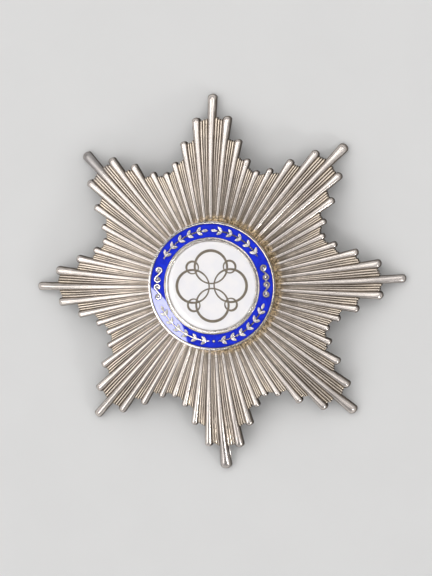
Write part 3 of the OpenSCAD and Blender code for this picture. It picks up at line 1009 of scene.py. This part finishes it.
def ray_silver(c):
    """Silver worn bright on the crests, brown in the grooves and golden on the fine ridges' ends, with a
    painted shade on the flanks of the free ends and on the outer edges, and painted highlights at the ends
    of the rays and ridges.
    """
    n = Finish("ray_silver")
    recess_and_shade, ridge, mark, reach = (n.attribute(name) for name in ("recess_and_shade", "ridge", "mark", "reach"))
    flat = n.flat()
    radius = n.vector("LENGTH", flat, output="Value")

    # Tarnish: a crust round the medallion; the fine ridges are made browner towards one side
    crust_share = n.times(
        n.ramp(radius, MEDAL_R + CRUST_W, MEDAL_R - 0.0002),
        n.ramp(n.axis("X"), -0.013, 0.006, 0.45, 1.0),
        n.ramp(reach, 0.1, 0.3))
    towards = n.vector("DOT_PRODUCT", n.vector("NORMALIZE", flat), BROWN_SIDE, "Value")
    browner = n.times(ridge, n.ramp(towards, 0.6, 0.95, 0.07, 0.22))
    amount = n.plus(0.41, n.times(crust_share, 0.24), browner)
    mask, grain = n.tarnish(
        recess_and_shade, patches=700.0, uneven=0.9, amount=amount, speckle=n.times(crust_share, 1.4))

    # Fine ridges: streaks along them, and golden ends that are partly worn tone and partly a painted
    # highlight
    streak = n.noise(n.stretched(n.attribute("flow", "Vector"), 0.05), 9000.0, 4.0, 0.65)
    tone = n.mixed(n.ramp(mark, 0.1, 0.9), shade(c.dull_silver, 1.15), shade(c.dull_silver, 0.6))
    tone = n.mixed(n.ramp(streak, 0.25, 0.6, 0.8, 1.0), c.silver, tone)
    worn = n.ramp(n.plus(reach, n.times(streak, 0.3)), 0.98, 1.16)
    tone = n.mixed(n.times(worn, n.ramp(mark, 0.15, 0.75, 0.2, 0.85)), tone, c.peach_wear_and_highlight)

    # Rays: a little duller outwards, with a painted highlight that brightens their ends
    crest = n.mixed(n.ramp(radius, 0.020, 0.036), c.silver, shade(c.silver, 0.93))
    crest = n.mixed(n.ramp(reach, 0.84, 0.97), crest, shade(c.silver, 1.18))
    base = n.mixed(ridge, crest, tone)
    base = n.mixed(n.times(mask, 0.88), base, n.mixed(crust_share, c.tarnish, c.golden))

    # Grains of the crust
    grains = n.noise(n.place, 2100.0, 3.0, 0.75)
    crust = n.mixed(n.ramp(grains, 0.40, 0.62), shade(c.golden, 0.6), c.worn_gold)
    crusted = n.ramp(n.plus(crust_share, n.times(grain, 0.5)), 0.75, 1.15)
    base = n.mixed(n.times(crusted, 0.85), base, crust)

    # Dull grey ends of some main points
    dull = 0.0
    for turn, how_dull in DULL_TIPS:
        away = n.vector("DISTANCE", flat, polar(STAR_R, radians(turn)), "Value")
        dull = n.larger(dull, n.ramp(away, *DULL_REACH, 0.0, how_dull))
    dull = n.times(dull, n.ramp(grains, 0.2, 0.5, 0.6, 1.0))
    base = n.mixed(dull, base, c.grey_tarnish)

    # Painted shade: the edge's sides are turned black-brown
    shaded_wall = n.ramp(recess_and_shade, 0.98, 1.08)
    rough = n.plus(
        n.ramp(mask, 0.0, 1.0, 0.23, 0.40), n.times(dull, 0.12),
        n.ramp(streak, 0.3, 0.7, -0.03, 0.05), n.times(shaded_wall, 0.2))
    height = n.minus(
        n.plus(n.times(streak, 0.5), n.times(grain, n.plus(mask, 0.15))),
        n.times(n.scratches(scale=420.0, density=0.5), 0.3))
    return n.finish(
        {"Base Color": n.mixed(shaded_wall, base, c.deep_shade), "Metallic": 1.0, "Roughness": rough},
        n.plus(height, n.times(grains, crusted, 4.0)), strength=0.35, depth=0.00003)


def setting_silver(c, ring_in):
    """Polished silver, browner on the double line and in the hollows, with a painted shade on the outer
    side and on the rim's right.
    """
    n = Finish("setting_silver")
    radius = n.vector("LENGTH", n.flat(), output="Value")
    line = n.ramp(radius, ring_in + 0.0001, ring_in)
    low = n.ramp(n.axis("Z"), TOP_Z - 0.00003, TOP_Z - 0.00030)
    # Painted shade: the outer side and the rim's right, turned from the key light, are made browner
    right = n.ramp(n.axis("X"), -0.006, 0.006, 0.0, 0.82)
    shaded_wall = n.larger(
        n.ramp(radius, MEDAL_R - 0.00010, MEDAL_R),
        n.times(n.ramp(radius, MEDAL_R - 0.0009, MEDAL_R - 0.0005), right))
    recess_and_shade = n.larger(n.times(line, 0.56), n.times(shaded_wall, 0.86), n.times(low, n.minus(1.0, line)))
    mask, grain = n.tarnish(recess_and_shade, patches=700.0, uneven=0.45, amount=0.45, speckle=0.15)
    return n.finish(
        {"Base Color": n.mixed(n.times(mask, 0.88), c.setting, c.brown), "Metallic": 1.0,
         "Roughness": n.ramp(mask, 0.0, 1.0, 0.12, 0.20)},
        n.minus(n.times(grain, 0.4), n.scratches(scale=600.0, density=0.25)), strength=0.10)


def blue_enamel(c):
    """Glossy royal blue glass over silver, with faint clouds and a navy line of painted shade, from ambient
    occlusion, where it meets the metal.
    """
    n = Finish("blue_enamel")
    clouds = n.noise(n.place, 520.0, 5.0, 0.6, 0.4)
    cloudy = n.mixed(n.ramp(clouds, 0.3, 0.72), c.blue, c.light_blue)
    # Painted shade: ambient occlusion darkens the blue to navy near the metal
    near = n.add("ShaderNodeAmbientOcclusion", {"Distance": 0.0005}, samples=8).outputs["AO"]
    waves = n.noise(n.place, 420.0, 1.0)
    return n.finish(
        {"Base Color": n.mixed(n.ramp(near, 0.97, 0.74), cloudy, c.deep_blue_shade),
         "Roughness": 0.6, "Specular IOR Level": 0.0,
         "Coat Weight": 1.0, "Coat Roughness": 0.012, "Coat IOR": 1.8},
        n.minus(waves, n.times(n.scratches(scale=500.0, density=0.4), 0.1)), strength=0.08)


def white_enamel(c):
    """Glossy opaque white enamel with faint warm and cool clouds."""
    n = Finish("white_enamel")
    clouds = n.noise(n.place, 380.0, 3.0)
    cool = tuple(x * f for x, f in zip(c.white, (0.955, 0.965, 0.99)))
    return n.finish(
        {"Base Color": n.mixed(n.ramp(clouds, 0.35, 0.7), c.white, cool),
         "Roughness": 0.35, "Coat Weight": 1.0, "Coat Roughness": 0.05},
        n.minus(clouds, n.scratches(scale=450.0, density=0.4)), strength=0.1)


def loop_gilt(c):
    """Dull grey gilt line with worn spots."""
    n = Finish("loop_gilt")
    mask, grain = n.tarnish(0.5, patches=1200.0, uneven=1.0, amount=0.5)
    return n.finish(
        {"Base Color": n.mixed(mask, c.gilt, shade(c.gilt, 0.6)), "Metallic": 0.5,
         "Roughness": n.ramp(mask, 0.0, 1.0, 0.42, 0.6)}, grain, strength=0.3)


def pin_silver(c):
    """Drawn silver with fine lines along the wire and light tarnish."""
    n = Finish("pin_silver")
    mask, _ = n.tarnish(0.4, patches=500.0, uneven=0.9, amount=0.45)
    return n.finish(
        {"Base Color": n.mixed(n.times(mask, 0.6), c.silver, c.tarnish), "Metallic": 1.0,
         "Roughness": n.ramp(mask, 0.0, 1.0, 0.25, 0.45)},
        n.noise(n.stretched(n.place, 0.04), 9000.0, 2.0), strength=0.25)


def floor_paint(c):
    """Plain pale matte floor with the faintest mottling."""
    n = Finish("pale_floor")
    tone = n.ramp(n.noise(n.place, 60.0, 3.0), 0.3, 0.7)
    return n.finish({"Base Color": n.mixed(tone, c.floor, shade(c.floor, 0.985)),
                     "Roughness": 0.9, "Specular IOR Level": 0.1})


# Soft lights: [name, direction it comes from and height above the floor in
# degrees, distance, width, height, watts]
LIGHTS = [
    ["key", 135, 45, 0.95, 0.45, 0.45, 1.2],
    ["ring_glare", 206.44, 72.69, 0.859, 0.0962, 0.0962, 0.19],
    ["end_shine", 317, 23, 0.95, 0.12, 0.12, 1.5],
    ["top_left", 135, 66, 0.95, 0.36, 0.26, 0.14],
    ["top", 90, 62, 0.95, 0.40, 0.30, 0.6],
    ["top_low", 90, 38, 0.95, 0.40, 0.46, 0.8],
    ["top_right", 45, 62, 0.95, 0.40, 0.30, 0.56],
    ["top_right_low", 45, 38, 0.95, 0.40, 0.46, 0.9],
    ["right", 0, 62, 0.95, 0.40, 0.30, 0.26],
    ["right_low", 0, 38, 0.95, 0.40, 0.46, 0.42],
    ["low_right", 315, 62, 0.95, 0.40, 0.30, 0.5],
    ["low_right_low", 315, 38, 0.95, 0.40, 0.46, 0.15],
    ["bottom", 270, 60, 0.95, 0.40, 0.24, 0.38],
    ["left", 180, 56, 0.95, 0.40, 0.24, 0.5],
    ["left_low", 180, 38, 0.95, 0.40, 0.46, 1.0],
    ["low_left", 225, 54, 0.95, 0.40, 0.20, 0.34],
    ["low_left_low", 225, 38, 0.95, 0.40, 0.46, 1.12],
]


class BREAST_STAR_OT_stage(Operator):
    """Lays the floor and sets the soft lights and the camera"""
    bl_idname = "breast_star.stage"
    bl_label = "Floor, lights and camera"

    def execute(self, context):
        settings = context.scene.breast_star
        s = settings.stage
        bpy.ops.object.select_all(action="DESELECT")
        bpy.ops.mesh.primitive_plane_add(size=s.floor_w, location=(0, 0, -0.00002))
        floor = context.view_layer.objects.active
        floor.name = "floor"
        floor.data.materials.append(floor_paint(settings.colours))
        for light in LIGHTS:
            self.soft_light(*light)
        world = bpy.data.worlds.new("studio")
        world.use_nodes = True
        background = world.node_tree.nodes["Background"]
        n = Nodes(world.node_tree)
        direction = n.add("ShaderNodeTexCoord", {}).outputs["Generated"]
        height = n.add("ShaderNodeSeparateXYZ", {"Vector": direction}).outputs["Z"]
        sky = n.mixed(n.ramp(height, 0.15, 0.85), (0.96, 0.97, 1.0), (0.30, 0.30, 0.31))
        n.fill(background.inputs["Color"], sky)
        n.fill(background.inputs["Strength"], s.ambient)
        context.scene.world = world
        self.camera(context, s)
        context.scene.view_settings.view_transform = "Standard"
        return {"FINISHED"}

    def soft_light(self, name, turn, height, distance, width, depth, watts):
        """A lamp that faces the middle of the star, round where it is as wide as deep."""
        rise = radians(height)
        way = Vector(polar(cos(rise), radians(turn), sin(rise)))
        light = bpy.data.lights.new(name, "AREA")
        light.shape = "ELLIPSE" if width == depth else "RECTANGLE"
        light.size = width
        light.size_y = depth
        light.energy = watts
        obj = linked(name, light)
        obj.location = way * distance
        obj.rotation_euler = way.to_track_quat("Z", "Y").to_euler()

    def camera(self, context, s):
        across = Vector((-sin(s.view_turn), cos(s.view_turn), 0))
        turn = Matrix.Rotation(s.view_tilt, 4, across) @ Matrix.Rotation(s.view_roll, 4, "Z")
        data = bpy.data.cameras.new("camera")
        data.lens = s.lens
        data.sensor_width = 36
        data.clip_start = 0.01
        data.shift_x = -s.shift_right
        data.shift_y = -s.shift_up
        obj = linked("camera", data)
        obj.location = Vector((0, 0, s.target_z)) + turn @ Vector((0, 0, s.distance))
        obj.rotation_euler = turn.to_euler()
        context.scene.camera = obj


class BREAST_STAR_PT_panel(Panel):
    """Sizes, colours and steps of the breast star"""
    bl_label = "Breast Star"
    bl_idname = "BREAST_STAR_PT_panel"
    bl_space_type = "VIEW_3D"
    bl_region_type = "UI"
    bl_category = "Breast Star"

    def draw(self, context):
        settings = context.scene.breast_star
        for title, group, operators in (
                ("Rays", settings.rays, ["breast_star.rays"]),
                ("Medallion", settings.medallion, [
                    "breast_star.setting", "breast_star.blue_enamel", "breast_star.white_enamel"]),
                ("Ornament", settings.ornament, ["breast_star.loops"]),
                ("Pin", settings.pin, ["breast_star.pin"]),
                ("Stage", settings.stage, ["breast_star.stage"]),
                ("Colours", settings.colours, [])):
            box = self.layout.box()
            box.label(text=title)
            for key in group.bl_rna.properties.keys():
                if key not in ("rna_type", "name"):
                    box.prop(group, key)
            for operator in operators:
                box.operator(operator)


CLASSES = [
    RaySizes, MedallionSizes, OrnamentSizes, PinSizes, FinishColours, StageSizes, BreastStarSettings,
    BREAST_STAR_OT_rays, BREAST_STAR_OT_setting, BREAST_STAR_OT_blue_enamel,
    BREAST_STAR_OT_white_enamel, BREAST_STAR_OT_loops, BREAST_STAR_OT_pin,
    BREAST_STAR_OT_stage, BREAST_STAR_PT_panel,
]


def register():
    for cls in CLASSES:
        bpy.utils.register_class(cls)
    bpy.types.Scene.breast_star = PointerProperty(type=BreastStarSettings)


def unregister():
    del bpy.types.Scene.breast_star
    for cls in reversed(CLASSES):
        bpy.utils.unregister_class(cls)


def main():
    register()
    bpy.ops.breast_star.rays()
    bpy.ops.breast_star.setting()
    bpy.ops.breast_star.blue_enamel()
    bpy.ops.breast_star.white_enamel()
    bpy.ops.breast_star.loops()
    bpy.ops.breast_star.pin()
    bpy.ops.breast_star.stage()


if __name__ == "__main__":
    main()
